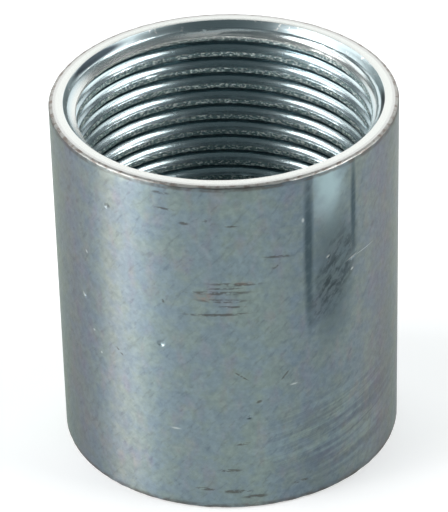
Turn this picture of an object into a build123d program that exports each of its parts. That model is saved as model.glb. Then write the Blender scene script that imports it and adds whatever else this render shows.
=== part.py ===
from build123d import *
import os
from math import radians, tan

# A coupling for threaded steel conduit: one short sleeve of steel tube, bored through,
# tapped from both ends with a right-hand thread and countersunk at both mouths, so that a
# length of conduit screws in from each end. It stands on one end, with its axis along Z
# and the origin at the centre of that end.

# Thread: its nominal diameter lies a little inside the sharp bottom of the groove, and its
# depth is measured from there to the bore
thread_diameter = 25.0
pitch = 1.5
thread_depth = 0.68
thread_angle = 60
thread_turns = 6
thread_start = -10

# Sleeve
length = 30.5
wall = 1.5
edge_break = 0.28

# Mouths: a steep lead, then a wider countersink that runs down to the bore
mouth_relief = 0.55
lead_depth = 0.6
lead_angle = 66
countersink_angle = 120

thread_radius = thread_diameter / 2
outer_radius = thread_radius + wall
bore_radius = thread_radius - thread_depth
mouth_radius = thread_radius + mouth_relief
throat_radius = mouth_radius - lead_depth * tan(radians(lead_angle / 2))
countersink_depth = (throat_radius - bore_radius) / tan(radians(countersink_angle / 2))
mouth_depth = lead_depth + countersink_depth

# One turn of the groove that the tap cuts: a sharp V, whose section stands across the
# helix. Its open side is carried inside the bore along the flanks, so that it cuts clean.
# At the nominal diameter the groove is an eighth of the pitch wide.
flank_slope = tan(radians(thread_angle / 2))
groove_bottom = thread_radius + pitch / 16 / flank_slope
groove_depth = groove_bottom - bore_radius
groove_overlap = 0.2
open_half = (groove_depth + groove_overlap) * flank_slope
with BuildPart() as groove_turn:
    with BuildLine() as helix:
        Helix(pitch, pitch, bore_radius)
    with BuildSketch(Plane(helix.line @ 0, x_dir=(1, 0, 0), z_dir=helix.line % 0)):
        with BuildLine():
            Polyline(
                (-groove_overlap, -open_half),
                (groove_depth, 0),
                (-groove_overlap, open_half),
                close=True,
            )
        make_face()
    sweep(is_frenet=True)

# The sleeve: half of its section, turned about its axis. The section is the same at both
# ends, so only the lower half is drawn and then mirrored.
mid_height = length / 2
with BuildPart() as coupling:
    with BuildSketch(Plane.XZ):
        with BuildLine():
            Polyline(
                (bore_radius, mid_height),
                (bore_radius, mouth_depth),
                (throat_radius, lead_depth),
                (mouth_radius, 0),
                (outer_radius - edge_break, 0),
                (outer_radius, edge_break),
                (outer_radius, mid_height),
            )
            mirror(about=Plane.XZ.offset(-mid_height))
        make_face()
    revolve(axis=Axis.Z)

    # The thread, turn by turn: it starts in the open mouth, where the groove cuts nothing
    # yet. The upper end has the same thread, as if the sleeve were turned over.
    lower_end = Location((0, 0, 0))
    upper_end = Location((0, 0, length), (180, 0, 0))
    first_turn = mouth_depth - open_half
    turn_heights = [first_turn + turn * pitch for turn in range(thread_turns)]
    turns = [Location((0, 0, z), (0, 0, thread_start)) for z in turn_heights]
    with Locations([end * turn for end in (lower_end, upper_end) for turn in turns]):
        add(groove_turn.part, mode=Mode.SUBTRACT)

coupling.part.label = "coupling"
os.makedirs("parts", exist_ok=True)
export_step(coupling.part, "parts/coupling.step")
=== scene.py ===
from math import cos, pi, radians, sin, tan
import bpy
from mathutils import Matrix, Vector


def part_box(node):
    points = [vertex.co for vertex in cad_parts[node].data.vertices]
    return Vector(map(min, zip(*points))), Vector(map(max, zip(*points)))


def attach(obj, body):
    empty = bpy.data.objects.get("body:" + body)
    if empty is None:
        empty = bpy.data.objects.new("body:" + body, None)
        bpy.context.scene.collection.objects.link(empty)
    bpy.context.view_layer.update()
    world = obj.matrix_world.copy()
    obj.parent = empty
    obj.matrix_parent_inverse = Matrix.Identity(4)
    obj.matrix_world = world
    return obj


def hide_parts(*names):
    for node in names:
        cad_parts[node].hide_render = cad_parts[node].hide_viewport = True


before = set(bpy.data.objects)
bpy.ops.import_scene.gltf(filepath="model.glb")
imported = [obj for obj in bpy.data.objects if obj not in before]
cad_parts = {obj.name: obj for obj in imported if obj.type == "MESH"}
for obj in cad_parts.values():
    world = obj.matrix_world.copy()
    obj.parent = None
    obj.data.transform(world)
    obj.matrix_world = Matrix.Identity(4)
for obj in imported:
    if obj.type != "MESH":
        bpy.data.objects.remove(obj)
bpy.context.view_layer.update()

from types import SimpleNamespace

import bmesh
import bpy
from mathutils import Matrix, Vector, noise

# The coupling: one short sleeve of steel tube that joins two lengths of conduit. Its ends
# are faced flat and lightly rounded outside, both mouths are countersunk, and a right-hand
# thread is tapped straight through it. The whole sleeve is then zinc plated.
low, high = (Vector(corner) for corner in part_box("coupling"))
outer_radius = min(high.x - low.x, high.y - low.y) / 2
sleeve_height = high.z - low.z
columns = 256

# The thread. Its first groove is placed by its depth below the upper end, which holds at
# one turn round the axis.
pitch = 0.0015
bore_radius = 0.01182
groove_half = 0.00055
crest_round = 0.00007
first_groove_depth = 0.00197
first_groove_turn = radians(90)

# The groove's section, as (distance in from its edge, depth): steep at the crest, then an
# even flank, then a rounded bottom.
groove_section = (
    (0.00007, 0.00014), (0.00016, 0.00030), (0.00022, 0.00037), (0.00032, 0.000455),
    (0.00041, 0.000525), (0.00047, 0.00056), (0.00052, 0.000575), (0.00056, 0.000578),
)

# Heights within one pitch, as shares of it counted up from the middle of a groove: the
# bottom, the side that faces down, the torn crest, its corner, and the flank that faces up.
pitch_rows = (
    0, 0.05, 0.13, 0.24, 0.34, 0.40, 0.50, 0.59, 0.64, 0.685, 0.74, 0.78, 0.85, 0.91, 0.965,
)

# How far the crests are torn and chipped and the flanks waver, and the coarseness of each,
# in lumps to the millimetre.
millimetres = 1000
tear_size, tear_grain = 0.000016, 2.4
chip_size, chip_grain = 0.00012, 3.6
chip_start = 0.12
waver_size, waver_grain = 0.000003, 0.8


def first_groove(turn):
    """Height of the first groove's middle at a turn round the axis."""
    return sleeve_height - first_groove_depth + pitch * (turn - first_groove_turn) / (2 * pi)


def groove_distance(height, turn):
    """Distance along the axis from the middle of the nearest groove."""
    share = ((height - first_groove(turn)) / pitch) % 1
    return min(share, 1 - share) * pitch


def groove_depth(inside):
    """Depth of the groove at a distance in from its edge."""
    below = groove_section[0]
    for above in groove_section:
        if inside <= above[0]:
            break
        below = above
    share = min(max((inside - below[0]) / max(above[0] - below[0], 1e-9), 0), 1)
    return below[1] + (above[1] - below[1]) * share


def thread_radius(height, turn):
    """Radius of the tapped bore: a rounded groove, and between two grooves a torn crest."""
    inside = groove_half - groove_distance(height, turn)
    if inside > crest_round:
        radius = bore_radius + groove_depth(inside)
    elif inside > -crest_round:
        corner_depth = groove_section[0][1]
        radius = bore_radius + ((inside + crest_round) / crest_round / 2) ** 2 * corner_depth
    else:
        radius = bore_radius
    place = Vector((cos(turn) * bore_radius, sin(turn) * bore_radius, height)) * millimetres
    if inside < crest_round:
        tear = noise.fractal(place * tear_grain, 1.0, 2.1, 3)
        chip = max(0, noise.noise(place * chip_grain + Vector((31, 7, 3))) - chip_start)
        radius += tear_size * tear + chip_size * chip
    else:
        radius += waver_size * noise.noise(place * waver_grain)
    return radius


# The mouths: a steep lead, then a countersink of 120 degrees that runs down to the thread.
# The cutter's edges wobble a little, and the lip is rounded in two narrow steps.
mouth_radius = 0.01283
lip_drop = 0.00003
lip_round = (0.00002, 0.00006)
lead_depth = 0.0006
throat_radius = 0.01256
countersink_slope = tan(radians(60))
countersink_depth = lead_depth + (throat_radius - bore_radius) / countersink_slope
mouth_wobble = 0.00002
edge_step = 0.000008


def cone_radius(depth):
    """Radius of the countersink at a depth below the end face."""
    return throat_radius - (depth - lead_depth) * countersink_slope


def countersink_edge(turn, top):
    """Depth below the end face at which the countersink gives way to the thread."""
    depth = lead_depth
    while depth < countersink_depth:
        if cone_radius(depth) < thread_radius(sleeve_height - depth if top else depth, turn):
            break
        depth += edge_step
    return depth


def mouth_rows(turn, top):
    """The mouth's rows from its inner edge out to the flat ring, as (radius, depth)."""
    edge = countersink_edge(turn, top)
    side = 1 if top else -1
    place = Vector((cos(turn) * 4, sin(turn) * 4, side * 9))
    wobble = mouth_wobble * noise.fractal(place * 1.3, 1.0, 2.0, 2)
    rows = []
    for share in (0.05, 0.35, 0.68, 0.97):
        depth = edge + (lead_depth - edge) * share
        rows.append((cone_radius(depth), depth))
    throat = throat_radius + wobble
    lip = mouth_radius + wobble * 1.5
    for share in (0.06, 0.5, 0.97):
        rows.append((throat + (lip - throat) * share, lead_depth + (lip_drop - lead_depth) * share))
    rows.append((lip + lip_round[0], lip_drop * 0.4))
    rows.append((lip + lip_round[1], 0))
    return rows


# The outside: a plain drawn wall between two rounded rims, which are worn unevenly.
rim_round_width = 0.00030
rim_round_drop = 0.00019
rim_wear = 0.5
rim_wear_grain = 16
rim_steps = 5
wall_rows = 44


def outside_rows(turn):
    """Rows from the flat ring at the top over the rim, down the wall and round below."""
    flat_edge = outer_radius - rim_round_width
    ring_middle = mouth_radius + (flat_edge - mouth_radius) * 0.6
    wear = noise.fractal(Vector((cos(turn), sin(turn), 2)) * rim_wear_grain, 1.0, 2.0, 2)
    drop_here = rim_round_drop * (1 + rim_wear * wear)
    corner = []
    for step in range(rim_steps + 1):
        angle = step / rim_steps * pi / 2
        corner.append((flat_edge + rim_round_width * sin(angle), drop_here * (1 - cos(angle))))
    rows = [(ring_middle, sleeve_height)]
    rows += [(radius, sleeve_height - drop) for radius, drop in corner]
    wall = sleeve_height - 2 * drop_here
    for row in range(1, wall_rows):
        rows.append((outer_radius, sleeve_height - drop_here - wall * row / wall_rows))
    rows += [(radius, drop) for radius, drop in reversed(corner)]
    rows.append((ring_middle, 0))
    return rows


def skin_rows(turn):
    """The rows outside the bore, from the upper mouth to the lower one, as (radius, height)."""
    upper = [(radius, sleeve_height - depth) for radius, depth in mouth_rows(turn, True)]
    lower = [(radius, depth) for radius, depth in reversed(mouth_rows(turn, False))]
    return upper + outside_rows(turn) + lower


def bore_rows(turn):
    """The rows inside the bore, from below up, as (radius, height). They follow the helix."""
    pitches = int(sleeve_height / pitch) + 4
    lower_edge = countersink_edge(turn, False)
    upper_edge = sleeve_height - countersink_edge(turn, True)
    start = first_groove(turn) - (pitches - 2) * pitch
    rows = []
    for share in [whole + part for whole in range(pitches) for part in pitch_rows]:
        height = min(max(start + share * pitch, lower_edge), upper_edge)
        rows.append((thread_radius(height, turn), height))
    return rows


def column_points(shell, turn, rows):
    """One column of points in the shell, at a turn round the axis."""
    return [shell.verts.new((radius * cos(turn), radius * sin(turn), height)) for radius, height in rows]


def join_columns(shell, here, there, shift=0):
    """Faces between two columns, where the second one is taken some rows further up."""
    last = len(here) - 1
    for row in range(last):
        lower, upper = min(row + shift, last), min(row + 1 + shift, last)
        if lower != upper:
            shell.faces.new((here[row], here[row + 1], there[upper], there[lower]))


def sleeve_mesh():
    """The sleeve as one closed skin. Past the last column the helix has risen by one pitch."""
    shell = bmesh.new()
    turns = [2 * pi * column / columns for column in range(columns)]
    bores, skins = [], []
    for turn in turns:
        bores.append(column_points(shell, turn, bore_rows(turn)))
        skins.append(column_points(shell, turn, skin_rows(turn)))
    for column in range(columns):
        following = (column + 1) % columns
        bore, next_bore = bores[column], bores[following]
        skin, next_skin = skins[column], skins[following]
        join_columns(shell, bore, next_bore, 0 if following else len(pitch_rows))
        join_columns(shell, skin, next_skin)
        shell.faces.new((bore[-1], skin[0], next_skin[0], next_bore[-1]))
        shell.faces.new((skin[-1], bore[0], next_bore[0], next_skin[-1]))
    nearly_touching = 0.0000008
    bmesh.ops.remove_doubles(shell, verts=shell.verts, dist=nearly_touching)
    bmesh.ops.dissolve_degenerate(shell, dist=nearly_touching, edges=shell.edges)
    bmesh.ops.recalc_face_normals(shell, faces=shell.faces)
    mesh = bpy.data.meshes.new("sleeve")
    shell.to_mesh(mesh)
    shell.free()
    mesh.shade_smooth()
    mesh.set_sharp_from_angle(angle=radians(32))
    return mesh


sleeve = bpy.data.objects.new("sleeve", sleeve_mesh())
bpy.context.scene.collection.objects.link(sleeve)


# The coupling's finish: bright zinc. Over the drawn tube it is a dull blue-grey with faint
# tints and scuffs, with painted sheen and shade round it and a painted reflection right of the
# front. Over the faced ends and the tapped bore it is lighter, with painted shade in the
# groove bottoms. Places in the finish are in millimetres.
wall_radius = outer_radius * millimetres
sleeve_top = sleeve_height * millimetres
crest_line = bore_radius * millimetres
throat_line = throat_radius * millimetres
mouth_line = mouth_radius * millimetres


def add(tree, kind, inputs=(), **settings):
    """A shader node with its settings; each input is given as (socket, value or output)."""
    made = tree.nodes.new("ShaderNode" + kind)
    for name, value in settings.items():
        setattr(made, name, value)
    for socket, value in inputs:
        if isinstance(value, bpy.types.NodeSocket):
            tree.links.new(value, made.inputs[socket])
        else:
            made.inputs[socket].default_value = value
    return made


def maths(tree, operation, *values):
    """The output of one sum, product or the like."""
    return add(tree, "Math", enumerate(values), operation=operation).outputs[0]


def times(tree, first, *others):
    """Values or masks multiplied together."""
    total = first
    for other in others:
        total = maths(tree, "MULTIPLY", total, other)
    return total


def most(tree, *masks):
    """The strongest of several masks."""
    total = masks[0]
    for mask in masks[1:]:
        total = maths(tree, "MAXIMUM", total, mask)
    return total


def ramp(tree, value, start, end, to_start=0, to_end=1, curve="SMOOTHSTEP"):
    """A value carried from one range to another, smoothly or in a straight line."""
    made = add(tree, "MapRange", [("Value", value), ("From Min", start), ("From Max", end),
                                  ("To Min", to_start), ("To Max", to_end)])
    made.interpolation_type = curve
    return made.outputs["Result"]


def blend(tree, factor, first, second, mode="MIX"):
    """Two colours, mixed or multiplied."""
    made = add(tree, "Mix", data_type="RGBA", blend_type=mode)
    for socket, value in (("Factor", factor), ("A", first), ("B", second)):
        ports = [port for port in made.inputs if port.name == socket and port.enabled]
        if isinstance(value, bpy.types.NodeSocket):
            tree.links.new(value, ports[0])
        else:
            ports[0].default_value = value
    return [port for port in made.outputs if port.enabled][0]


def stretched(tree, place, shares):
    """A place with each of its three measures multiplied by a share."""
    return add(tree, "VectorMath", [(0, place), (1, shares)], operation="MULTIPLY").outputs[0]


def turned(tree, place, degrees):
    """A place on the wall laid flat, turned in its plane."""
    return add(tree, "Mapping", [("Vector", place), ("Rotation", (0, 0, radians(degrees)))]).outputs[0]


def distance(tree, place):
    """The distance of a place from its origin."""
    return add(tree, "VectorMath", [(0, place)], operation="LENGTH").outputs["Value"]


def grain(tree, place, scale, detail=2, stretch=(1, 1, 1), roughness=0.5):
    """Three-dimensional noise over a place given in millimetres."""
    sized = stretched(tree, place, stretch)
    return add(tree, "TexNoise", [("Vector", sized), ("Scale", scale), ("Detail", detail),
                                  ("Roughness", roughness)]).outputs[0]


def mark(tree, wall_place, across, up, length, width, lean=0, soft=0.5):
    """A mark on the wall, such as a scratch, a ding or a patch of painted shade or highlight: an
    ellipse, 1 in its middle and 0 outside.
    """
    local = add(tree, "Mapping", [("Vector", wall_place), ("Location", (across, up, 0)),
                                  ("Rotation", (0, 0, radians(lean))),
                                  ("Scale", (length / 2, width / 2, 1))], vector_type="TEXTURE")
    return ramp(tree, distance(tree, local.outputs[0]), 1 - soft, 1, 1, 0)


def marks(tree, wall_place, places, **softness):
    """Several marks as one mask."""
    return most(tree, *[mark(tree, wall_place, *place, **softness) for place in places])


def sleeve_places(tree):
    """Where a point of the sleeve lies, and how far it belongs to each kind of surface."""
    at = SimpleNamespace()
    metres = add(tree, "TexCoord").outputs["Object"]
    at.place = stretched(tree, metres, (millimetres, millimetres, millimetres))
    right, back, at.height = add(tree, "SeparateXYZ", [(0, at.place)]).outputs
    at.radius = distance(tree, stretched(tree, at.place, (1, 1, 0)))
    at.turn = maths(tree, "ARCTAN2", right, times(tree, back, -1))
    at.across = times(tree, at.turn, wall_radius)
    at.wall_place = add(tree, "CombineXYZ", [(0, at.across), (1, at.height)]).outputs[0]
    at.slanted = turned(tree, at.wall_place, -48)
    at.drawn = ramp(tree, at.radius, wall_radius - 0.06, wall_radius - 0.01)
    at.rim = ramp(tree, at.radius, wall_radius - 0.36, wall_radius - 0.26)
    at.crest = ramp(tree, at.radius, crest_line + 0.03, crest_line + 0.09, 1, 0)
    inside_lip = ramp(tree, at.radius, mouth_line + 0.06, mouth_line + 0.01)
    at.lead = times(tree, ramp(tree, at.radius, throat_line - 0.03, throat_line + 0.04), inside_lip)
    at.torn = grain(tree, at.place, 4, 3, (1, 1, 1.8))
    return at


# The dull zinc of the drawn wall, and its tints round the sleeve by degrees to the right of
# the front line. Besides hue tints, the ramp holds painted light: a lighter front, a painted
# sheen band from -46 to -26 degrees, and painted shade from 20 to 42 degrees and past -62
# degrees on the left. The tints multiply the zinc's own colour and are damped by one strength.
dull_zinc = (0.222, 0.273, 0.298, 1)
tint_and_light_strength = 0.85
tints_and_painted_light = (
    (-180, (1.12, 1.16, 1.12)), (-80, (0.72, 0.88, 0.70)), (-70, (0.79, 0.84, 0.77)),
    (-62, (0.86, 0.81, 0.83)), (-50, (0.93, 0.93, 0.94)), (-46, (1.06, 1.04, 1.03)),
    (-42, (1.26, 1.16, 1.10)), (-34, (1.22, 1.17, 1.13)), (-26, (1.11, 1.14, 1.14)),
    (-12, (1.16, 1.20, 1.16)), (10, (1.14, 1.19, 1.14)), (20, (0.94, 0.98, 0.99)),
    (32, (0.80, 0.83, 0.83)), (42, (0.84, 0.86, 0.83)), (53, (0.95, 0.92, 0.89)),
    (62, (0.91, 0.83, 0.84)), (72, (0.80, 0.85, 0.75)), (180, (1.12, 1.16, 1.12)),
)

# Where the wall is smeared low down on the right, and the two tones of the smear. A mark's
# place is always millimetres right of the front line, millimetres above the lower end,
# length, width and lean in degrees, and in some lists its softness.
smear_place = (10, 5.5, 22, 13, 0, 0.8)
smear_dark = (0.78, 0.76, 0.80, 1)
smear_pale = (1.15, 1.17, 1.12, 1)


def tinted_and_painted_light_zinc(tree, at):
    """The dull zinc with its tints and painted light, which follow one another round the sleeve."""
    around = ramp(tree, at.turn, -pi, pi, curve="LINEAR")
    tint_and_light = add(tree, "ValToRGB", [(0, around)])
    stops = tint_and_light.color_ramp.elements
    for spare in range(len(tints_and_painted_light) - 2):
        stops.new(0.5)
    for stop, (degrees, colour) in zip(stops, tints_and_painted_light):
        stop.position = (degrees + 180) / 360
        stop.color = [part * tint_and_light_strength for part in colour] + [1]
    return blend(tree, 1, dull_zinc, tint_and_light.outputs[0], "MULTIPLY")


def plated_tone(tree, at):
    """The zinc on the drawn wall: tints and painted light, then clouds, mottle and grain, then the
    smears.
    """
    clouds = grain(tree, at.place, 0.55, 4, roughness=0.6)
    mottle = grain(tree, at.place, 1.5, 3, roughness=0.6)
    rosy = grain(tree, at.place, 0.9, 3, (1, 1, 0.45))
    speckle = grain(tree, at.place, 2.4, 4, roughness=0.6)
    brushed = grain(tree, at.slanted, 2.6, 4, (0.3, 1, 1), 0.6)
    layers = (
        (clouds, 0.38, 0.62, (0.96, 0.98, 1.03, 1), (1.04, 1.03, 0.95, 1)),
        (mottle, 0.36, 0.64, (0.93, 0.945, 0.965, 1), (1.055, 1.055, 1.035, 1)),
        (rosy, 0.50, 0.72, (1, 1, 1, 1), (1.08, 0.96, 0.99, 1)),
        (speckle, 0.34, 0.66, (0.925, 0.928, 0.93, 1), (1.055, 1.055, 1.045, 1)),
        (brushed, 0.52, 0.70, (1, 1, 1, 1), (0.84, 0.83, 0.84, 1)),
    )
    tone = tinted_and_painted_light_zinc(tree, at)
    for pattern, start, end, first, second in layers:
        layer = blend(tree, ramp(tree, pattern, start, end), first, second)
        tone = blend(tree, 1, tone, layer, "MULTIPLY")
    streaks = grain(tree, turned(tree, at.wall_place, -9), 1, 3, (0.10, 1.5, 1), 0.6)
    smear = blend(tree, ramp(tree, streaks, 0.38, 0.62), smear_dark, smear_pale)
    smeared = blend(tree, 1, tone, smear, "MULTIPLY")
    return blend(tree, mark(tree, at.wall_place, *smear_place), tone, smeared)


# A painted reflection right of the front, standing in for the coupling's shadow on the floor
# seen in the wall: a dark ground of painted shadow, a painted highlight above it, a hatched
# band of painted shade across it, and a dark painted streak down each side.
painted_shadow_place = (8.8, 21.0, 5.8, 17.5, 0, 0.6)
painted_shadow_grey = (0.085, 0.118, 0.130, 1)
painted_highlight_place = (8.3, 29.4, 5.0, 10.2, 0, 0.95)
painted_highlight_zinc = (0.31, 0.415, 0.435, 1)
highlight_left, highlight_right = 6.8, 11.4
shade_band_place = (9.0, 20.6, 12.5, 5.2, 67, 0.8)
shade_band_dark = (0.036, 0.050, 0.056, 1)
painted_dark_streaks = ((6.5, 23.7, 1.2, 19.5), (10.95, 26.2, 0.85, 12.5))
painted_streak_dark = (0.050, 0.078, 0.092, 1)


def painted_reflection(tree, tone, at):
    """The wall with its painted reflection, whose dark ground and painted highlight wander a little."""
    wander = ramp(tree, grain(tree, at.place, 0.7, 3), 0.3, 0.7, -0.35, 0.35)
    drift = add(tree, "CombineXYZ", [(0, wander)]).outputs[0]
    shifted = add(tree, "VectorMath", [(0, at.wall_place), (1, drift)], operation="ADD").outputs[0]
    # Painted shadow: the dark ground of the painted reflection.
    worn = times(tree, mark(tree, shifted, *painted_shadow_place), 0.72)
    tone = blend(tree, worn, tone, painted_shadow_grey)
    # Painted highlight above the painted shadow.
    field = times(tree, ramp(tree, at.across, highlight_left, highlight_left + 0.3),
                  ramp(tree, at.across, highlight_right, highlight_right - 0.4))
    tone = blend(tree, times(tree, mark(tree, shifted, *painted_highlight_place), field), tone, painted_highlight_zinc)
    hatch = grain(tree, at.slanted, 2.1, 4, (0.4, 1, 1), 0.65)
    patches = ramp(tree, grain(tree, at.place, 0.9, 3), 0.38, 0.56, 0.45, 1)
    shade_hatch = times(tree, ramp(tree, hatch, 0.42, 0.58, 0.15, 1), patches)
    # Painted shade in a hatched band across the painted reflection.
    band = times(tree, mark(tree, shifted, *shade_band_place), shade_hatch, 0.9)
    tone = blend(tree, band, tone, shade_band_dark)
    # Dark painted streaks down both sides of the painted highlight.
    for place in painted_dark_streaks:
        line = mark(tree, at.wall_place, *place, soft=0.75)
        line = times(tree, line, ramp(tree, hatch, 0.3, 0.55, 0.65, 1), 0.95)
        tone = blend(tree, line, tone, painted_streak_dark)
    return tone


# Handling marks on the wall: brown scuffs, two spots of rust, pale scratches with painted glints among
# them, and dings.
dark_scuffs = (
    (0.5, 21.66, 5.4, 0.42, -2), (-0.8, 20.88, 6.8, 0.46, 0), (-0.6, 20.15, 5.4, 0.46, -1),
    (-1.0, 18.85, 7.0, 0.36, 2), (-0.3, 21.3, 3.6, 0.26, 1), (0.2, 19.6, 3.0, 0.26, -2),
    (4.0, 23.8, 3.3, 0.30, -7), (3.7, 22.95, 0.9, 0.40, 30), (-5.2, 29.65, 1.9, 0.36, 0),
    (-4.9, 28.25, 2.0, 0.28, -3), (-1.75, 27.45, 0.6, 0.42, 30), (-3.35, 27.15, 1.1, 0.40, 0),
    (0.3, 27.0, 1.4, 0.24, 0), (-5.3, 19.7, 0.3, 0.45, 20), (-9.5, 13.6, 1.3, 0.26, -40),
    (-9.0, 12.9, 0.5, 0.30, 0), (0.8, 13.0, 1.9, 0.20, -38), (2.2, 10.4, 0.7, 0.36, 20),
    (4.4, 12.6, 1.4, 0.22, 50), (8.4, 22.1, 0.5, 0.40, 0), (0.2, 1.7, 3.4, 0.5, 0),
    (-2.3, 1.9, 2.2, 0.4, 0), (1.8, 1.1, 2.8, 0.5, 0), (-0.2, 3.8, 2.4, 0.4, 0),
    (5.6, 1.8, 1.8, 0.4, 0), (0.9, 6.4, 1.6, 0.3, 8),
)
scuff_brown = (0.075, 0.066, 0.058, 1)
rust_spots = ((-2.0, 20.5, 2.4, 1.2, 0), (1.2, 21.75, 2.0, 0.5, 0))
rust_brown = (0.30, 0.19, 0.16, 1)
# Besides scratches, this list holds painted glints: the spots at 8.3, 10.8, 6.04 and -5.42 millimetres
# across.
pale_scratches_and_glints = (
    (10.85, 21.45, 1.6, 0.20, 13), (12.4, 21.5, 3.6, 0.10, 3), (8.3, 22.55, 0.55, 0.30, 28),
    (10.8, 20.35, 0.5, 0.30, 30), (6.04, 26.6, 0.34, 0.6, 0), (-5.42, 15.48, 0.22, 0.36, -20),
    (-4.57, 7.64, 1.2, 0.26, 0), (5.11, 11.54, 0.9, 0.22, 3), (-12.9, 21.6, 0.5, 0.3, -50),
    (-13.6, 17.2, 0.7, 0.3, -60), (-12.4, 14.4, 0.4, 0.3, 0), (-11.6, 12.6, 0.3, 0.3, 0),
)
scratch_and_glint_pale = (0.66, 0.70, 0.68, 1)
dings = (
    (-5.6, 15.65, 0.8, 0.75, 0), (8.3, 22.5, 0.7, 0.45, 25), (10.85, 21.4, 1.8, 0.36, 13),
    (-13.3, 17.3, 0.8, 0.5, -60), (-10.2, 27.0, 0.7, 0.6, 0), (1.4, 9.0, 0.7, 0.5, 20),
)
edge_dirt = (0.095, 0.078, 0.068, 1)


def scuffed(tree, tone, at):
    """Broken brown scuffs, a little rust, pale scratches and painted glints, and the dirt at both edges.
    """
    ragged = ramp(tree, grain(tree, at.wall_place, 1, 3, (1.5, 4.0, 1), 0.6), 0.40, 0.54)
    scuffs = times(tree, marks(tree, at.wall_place, dark_scuffs, soft=0.6), ragged, 0.7)
    tone = blend(tree, scuffs, tone, scuff_brown)
    bloom = ramp(tree, grain(tree, at.place, 3, 3), 0.4, 0.6, 0.1, 0.5)
    rust = times(tree, marks(tree, at.wall_place, rust_spots, soft=0.95), bloom)
    tone = blend(tree, rust, tone, rust_brown)
    # Pale scratches, and painted glints on some dings.
    scratches_and_glints = times(tree, marks(tree, at.wall_place, pale_scratches_and_glints, soft=0.9), 0.5)
    tone = blend(tree, scratches_and_glints, tone, scratch_and_glint_pale)
    upper_edge = ramp(tree, at.height, sleeve_top - 0.5, sleeve_top - 0.32)
    lower_edge = ramp(tree, at.height, 0.6, 0.25)
    uneven = ramp(tree, grain(tree, at.wall_place, 1, 3, (1.1, 2, 1)), 0.35, 0.6, 0.15, 0.65)
    fringe = times(tree, most(tree, upper_edge, lower_edge), uneven)
    return blend(tree, fringe, tone, edge_dirt)


# Cut metal keeps a cleaner zinc. The torn crests run from dark to nearly white, and the
# groove's bottom is darkened with painted shade. Each mouth has a pale countersink and bright
# burrs on its lead, and the upper lead has two dark stains.
cut_zinc = (0.47, 0.555, 0.575, 1)
torn_dark = (0.26, 0.36, 0.37, 1)
torn_pale = (0.94, 1, 0.96, 1)
groove_bottom = crest_line + 0.52
groove_painted_shade = (0.11, 0.18, 0.205, 1)
thread_end = 1.1
countersink_pale = (0.66, 0.655, 0.62, 1)
burr_bright = (0.95, 0.95, 0.92, 1)
lead_stains = ((-30.2, 30.24, 10.5, 0.8, 0, 0.5), (20.3, 30.2, 7.5, 0.9, 0, 0.6))
stain_dark = (0.012, 0.020, 0.032, 1)
ring_zinc = (0.61, 0.625, 0.60, 1)
outer_ring_zinc = (0.52, 0.525, 0.51, 1)
rim_zinc = (0.42, 0.42, 0.40, 1)
rim_nick = (0.24, 0.205, 0.185, 1)


def thread_tone(tree, at):
    """The tapped bore, with its torn crests, painted shade in the groove bottoms, and the pale
    countersinks.
    """
    torn_tone = blend(tree, ramp(tree, at.torn, 0.49, 0.60), torn_dark, torn_pale)
    tone = blend(tree, at.crest, cut_zinc, torn_tone)
    below_top = ramp(tree, at.height, sleeve_top - thread_end - 0.3, sleeve_top - thread_end, 1, 0)
    threaded = times(tree, below_top, ramp(tree, at.height, thread_end, thread_end + 0.3))
    # Painted shade in the groove bottoms.
    bottom = times(tree, ramp(tree, at.radius, groove_bottom, groove_bottom + 0.05), threaded)
    tone = blend(tree, bottom, tone, groove_painted_shade)
    countersink = ramp(tree, at.radius, throat_line + 0.01, throat_line - 0.56, 0, 1)
    countersink = times(tree, countersink, maths(tree, "SUBTRACT", 1, threaded), 0.7)
    return blend(tree, countersink, tone, countersink_pale)


def cut_tone(tree, at):
    """The zinc where the metal was cut: thread, countersinks, leads, flat rings and rims."""
    cut = thread_tone(tree, at)
    burrs = times(tree, ramp(tree, grain(tree, at.place, 2.6, 3), 0.62, 0.68), at.lead)
    cut = blend(tree, burrs, cut, burr_bright)
    stains = times(tree, marks(tree, at.wall_place, lead_stains), at.lead, 0.92)
    cut = blend(tree, stains, cut, stain_dark)
    cut = blend(tree, ramp(tree, at.radius, mouth_line, mouth_line + 0.06), cut, ring_zinc)
    outer_ring = ramp(tree, at.radius, wall_radius - 0.62, wall_radius - 0.42)
    cut = blend(tree, outer_ring, cut, outer_ring_zinc)
    nicks = ramp(tree, grain(tree, at.wall_place, 1, 3, (1.3, 4, 1), 0.6), 0.45, 0.62)
    return blend(tree, at.rim, cut, blend(tree, nicks, rim_zinc, rim_nick))


# Gloss and relief. The turned surfaces are the smoothest; the crests, the rims and the
# drawn wall are duller. Relief is in millimetres: plating grain, dings and torn crests.
zinc_edge_tint = (0.83, 0.80, 0.79, 1)
turned_roughness = 0.26
worn_roughness = 0.18
wall_roughness = (0.38, 0.46)
turned_brushing = 0.25
wall_brushing = 0.5
grain_relief, ding_relief, tear_relief = 0.012, 0.10, 0.24


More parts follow.
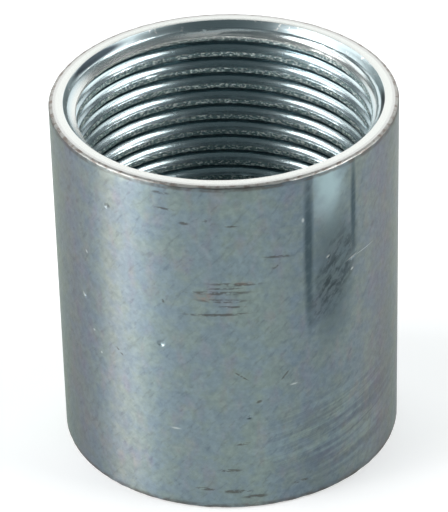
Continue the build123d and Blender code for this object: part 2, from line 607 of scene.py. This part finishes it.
def zinc_plate():
    """Zinc over drawn, turned and tapped steel, told apart by their distance from the axis."""
    made = bpy.data.materials.new("zinc_plate")
    made.use_nodes = True
    tree = made.node_tree
    shader = tree.nodes["Principled BSDF"]
    at = sleeve_places(tree)

    wall = scuffed(tree, painted_reflection(tree, plated_tone(tree, at), at), at)
    tree.links.new(blend(tree, at.drawn, cut_tone(tree, at), wall), shader.inputs["Base Color"])
    shader.inputs["Metallic"].default_value = 1
    shader.inputs["Specular Tint"].default_value = zinc_edge_tint

    speckle = grain(tree, at.place, 2.2, 6, roughness=0.75)
    wall_gloss = ramp(tree, speckle, 0.3, 0.7, *wall_roughness)
    worn = times(tree, most(tree, at.crest, at.rim, times(tree, at.lead, 0.3)), worn_roughness)
    cut_gloss = maths(tree, "ADD", turned_roughness, worn)
    gloss = add(tree, "Mix", [(0, at.drawn), (2, cut_gloss), (3, wall_gloss)]).outputs[0]
    tree.links.new(gloss, shader.inputs["Roughness"])
    brushing = maths(tree, "MULTIPLY_ADD", at.drawn, wall_brushing, turned_brushing)
    tree.links.new(brushing, shader.inputs["Anisotropic"])
    shader.inputs["Anisotropic Rotation"].default_value = 0.25
    along = add(tree, "Tangent", direction_type="RADIAL", axis="Z").outputs[0]
    tree.links.new(along, shader.inputs["Tangent"])

    pits = times(tree, marks(tree, at.wall_place, dings, soft=0.95), ding_relief)
    wall_relief = maths(tree, "SUBTRACT", times(tree, speckle, grain_relief), pits)
    tears = times(tree, at.torn, at.crest, tear_relief)
    relief = maths(tree, "ADD", times(tree, wall_relief, at.drawn), tears)
    bump = add(tree, "Bump", [("Height", relief), ("Distance", 1 / millimetres), ("Strength", 1)])
    tree.links.new(bump.outputs[0], shader.inputs["Normal"])
    return made


sleeve.data.materials.append(zinc_plate())

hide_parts("coupling")
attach(sleeve, "root")


# The floor: a plain sheet of pale paper, on which the coupling stands with nothing to hold
# it. To the eye and in the metal it is a little lighter than its own shading, but not inside
# the bore, and it keeps the coupling's shadow.
floor_half = 0.6
floor_lift = 0.34
paper_tone = (0.8, 0.8, 0.8, 1)
white = (1, 1, 1, 1)


def pale_paper():
    """Matt paper, lifted towards white where it is seen and outside the sleeve."""
    made = bpy.data.materials.new("pale_paper")
    made.use_nodes = True
    tree = made.node_tree
    shader = tree.nodes["Principled BSDF"]
    shader.inputs["Base Color"].default_value = paper_tone
    shader.inputs["Roughness"].default_value = 0.9
    shader.inputs["Specular IOR Level"].default_value = 0
    shader.inputs["Emission Color"].default_value = white
    rays = add(tree, "LightPath").outputs
    seen = most(tree, rays["Is Camera Ray"], rays["Is Glossy Ray"], rays["Is Transmission Ray"])
    from_axis = distance(tree, add(tree, "TexCoord").outputs["Object"])
    uncovered = ramp(tree, from_axis, bore_radius, outer_radius)
    lift = times(tree, seen, uncovered, floor_lift)
    tree.links.new(lift, shader.inputs["Emission Strength"])
    return made


sheet = bmesh.new()
bmesh.ops.create_grid(sheet, x_segments=8, y_segments=8, size=floor_half)
floor_mesh = bpy.data.meshes.new("floor")
sheet.to_mesh(floor_mesh)
sheet.free()
floor_mesh.materials.append(pale_paper())
floor = bpy.data.objects.new("floor", floor_mesh)
bpy.context.scene.collection.objects.link(floor)


# The studio light: soft boxes on both sides, behind and overhead, which draw the streaks
# down the plated wall, in a dim, even, bluish room. Past the floor the camera sees white.
room_tone = (0.72, 0.93, 1, 1)
room_strength = 0.125
world = bpy.data.worlds.new("studio")
bpy.context.scene.world = world
world.use_nodes = True
tree = world.node_tree
room = tree.nodes["Background"]
room.inputs["Color"].default_value = room_tone
room.inputs["Strength"].default_value = room_strength
sky = add(tree, "Background", [("Color", white), ("Strength", 1)]).outputs[0]
to_camera = add(tree, "LightPath").outputs["Is Camera Ray"]
mix = add(tree, "MixShader", [(0, to_camera), (1, room.outputs[0]), (2, sky)])
tree.links.new(mix.outputs[0], tree.nodes["World Output"].inputs["Surface"])

# Each box as its name, bearing and elevation in degrees, distance, width, height and glow.
# The bearing is counted from the right, and 90 is behind the coupling.
soft_boxes = (
    ("box_right", -5, 46, 0.5, 0.30, 0.12, 10),
    ("box_left", 185, 46, 0.5, 0.30, 0.12, 10),
    ("low_right", 4, 18, 0.5, 0.56, 0.19, 2.1),
    ("low_left", 176, 18, 0.5, 0.56, 0.19, 2.1),
    ("back_wall", 90, 26, 0.6, 0.9, 0.40, 1.53),
    ("box_zenith", 90, 76, 0.6, 0.2, 0.16, 1.6),
    ("strip_left", 208, 9, 0.5, 0.22, 0.12, 16),
)


def soft_box(name, bearing, elevation, distance_away, width, height, glow):
    """A rectangular soft box that faces the coupling from a bearing and an elevation."""
    lamp = bpy.data.lights.new(name, "AREA")
    lamp.shape = "RECTANGLE"
    lamp.size = width
    lamp.size_y = height
    lamp.energy = glow * width * height * pi
    box = bpy.data.objects.new(name, lamp)
    bpy.context.scene.collection.objects.link(box)
    turn, tilt = radians(bearing), radians(elevation)
    away = Vector((cos(turn) * cos(tilt), sin(turn) * cos(tilt), sin(tilt)))
    box.location = Vector((0, 0, sleeve_height / 2)) + away * distance_away
    box.rotation_euler = away.to_track_quat("Z", "Y").to_euler()
    box.visible_camera = False


for soft_box_row in soft_boxes:
    soft_box(*soft_box_row)


# The view: from above the front, with the long lens and the slight lean of the photograph.
# The coupling stands a little off the middle of the picture, by the offset in metres.
view_tilt = radians(32.58)
view_lean = radians(-1.50)
view_distance = 0.2665
view_offset = Vector((0.000308, -0.000120, 0))
camera_data = bpy.data.cameras.new("camera")
camera_data.sensor_width = 36
camera_data.lens = 227.6
camera_data.clip_end = 10
camera = bpy.data.objects.new("camera", camera_data)
bpy.context.scene.collection.objects.link(camera)
aim = Matrix.Translation((0, 0, sleeve_height / 2))
aim @= Matrix.Rotation(pi / 2 - view_tilt, 4, "X") @ Matrix.Rotation(view_lean, 4, "Z")
camera.matrix_world = aim @ Matrix.Translation(Vector((0, 0, view_distance)) - view_offset)
bpy.context.scene.camera = camera

bpy.context.scene.view_settings.view_transform = "Standard"
